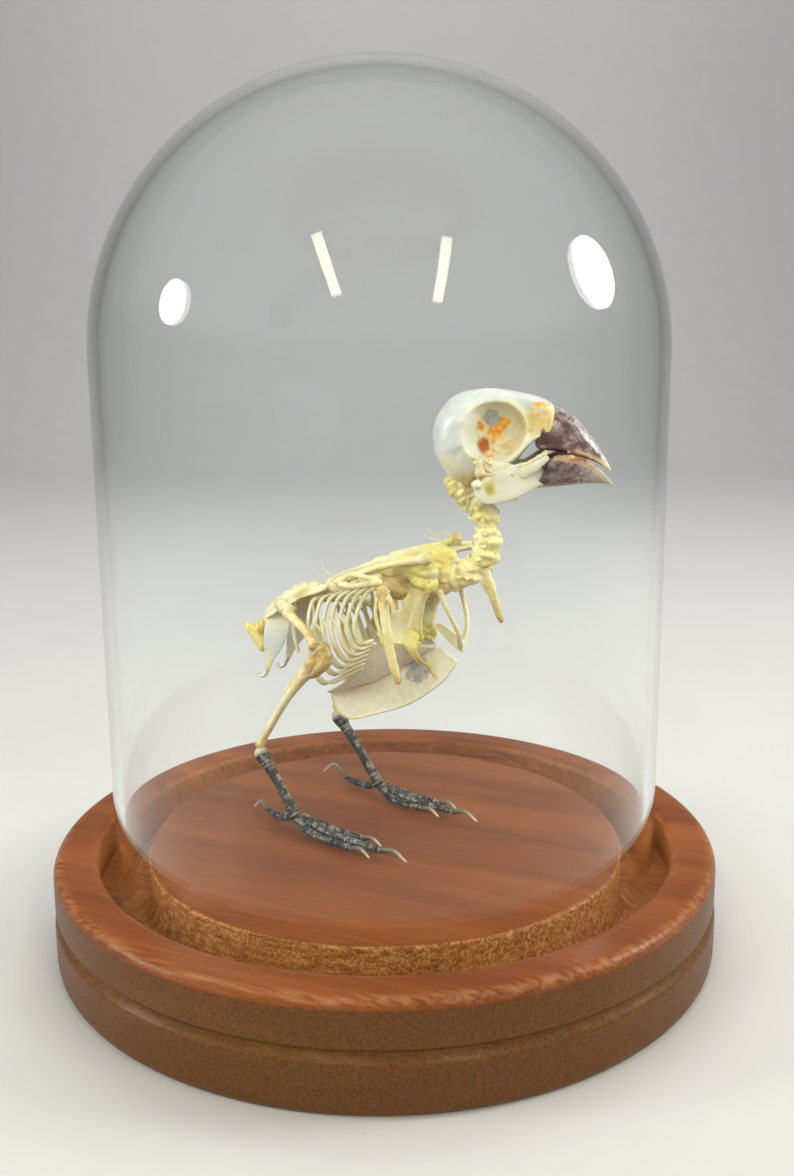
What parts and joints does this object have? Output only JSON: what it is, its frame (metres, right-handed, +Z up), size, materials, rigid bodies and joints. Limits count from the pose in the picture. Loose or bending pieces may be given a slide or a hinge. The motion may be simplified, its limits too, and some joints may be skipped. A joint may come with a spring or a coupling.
{
  "type": "mounted finch skeleton under a glass dome",
  "caption": "Small finch's skeleton standing on a round turned wooden base, under a clear glass dome that rests in a groove in the base.",
  "frame": {"origin": "centre of the wooden base's underside", "axes": "+Z up through the dome's top, +X the way the bird's trunk faces, +Y the bird's left"},
  "size_m": [0.1224, 0.1224, 0.1547],
  "materials": {
    "cranium": "smooth bluish-white bone with dried ochre tissue in the eye sockets",
    "bone": "satin cream bone, slightly translucent where it is thin",
    "ochre_bone": "knobbly bone covered with dried yellow tissue",
    "horn": "dark maroon horn with pale tan tip and edges, scuffed",
    "foot_scale": "dried black-grey scaly skin with whitish scale edges",
    "claw": "brown horn, paler at the tips",
    "wood": "reddish orange-brown stained wood, satin lacquer, end grain lighter",
    "glass": "clear blown glass with a faint green edge"
  },
  "bodies": {
    "root": {"bill_lower": "horn", "bill_upper": "horn", "coracoid_left": "ochre_bone", "coracoid_right": "ochre_bone", "femur_left": "bone", "femur_right": "bone", "forearm_left": "bone", "forearm_right": "bone", "hallux_claw_left": "claw", "hallux_claw_right": "claw", "hallux_left": "foot_scale", "hallux_right": "foot_scale", "hand_left": "ochre_bone", "hand_right": "ochre_bone", "humerus_left": "bone", "humerus_right": "bone", "jaw": "bone", "neck_lower": "ochre_bone", "neck_middle": "ochre_bone", "neck_upper": "ochre_bone", "pelvis": "bone", "rib_cage_left": "bone", "rib_cage_right": "bone", "scapula_left": "bone", "scapula_right": "bone", "skull": "cranium", "stand_base": "wood", "stand_dome": "glass", "sternum": "bone", "tail": "ochre_bone", "tarsus_left": "foot_scale", "tarsus_right": "foot_scale", "tibia_left": "bone", "tibia_right": "bone", "toe_inner_claw_left": "claw", "toe_inner_claw_right": "claw", "toe_inner_left": "foot_scale", "toe_inner_right": "foot_scale", "toe_middle_claw_left": "claw", "toe_middle_claw_right": "claw", "toe_middle_left": "foot_scale", "toe_middle_right": "foot_scale", "toe_outer_claw_left": "claw", "toe_outer_claw_right": "claw", "toe_outer_left": "foot_scale", "toe_outer_right": "foot_scale", "wishbone": "bone"}
  },
  "joints": []
}
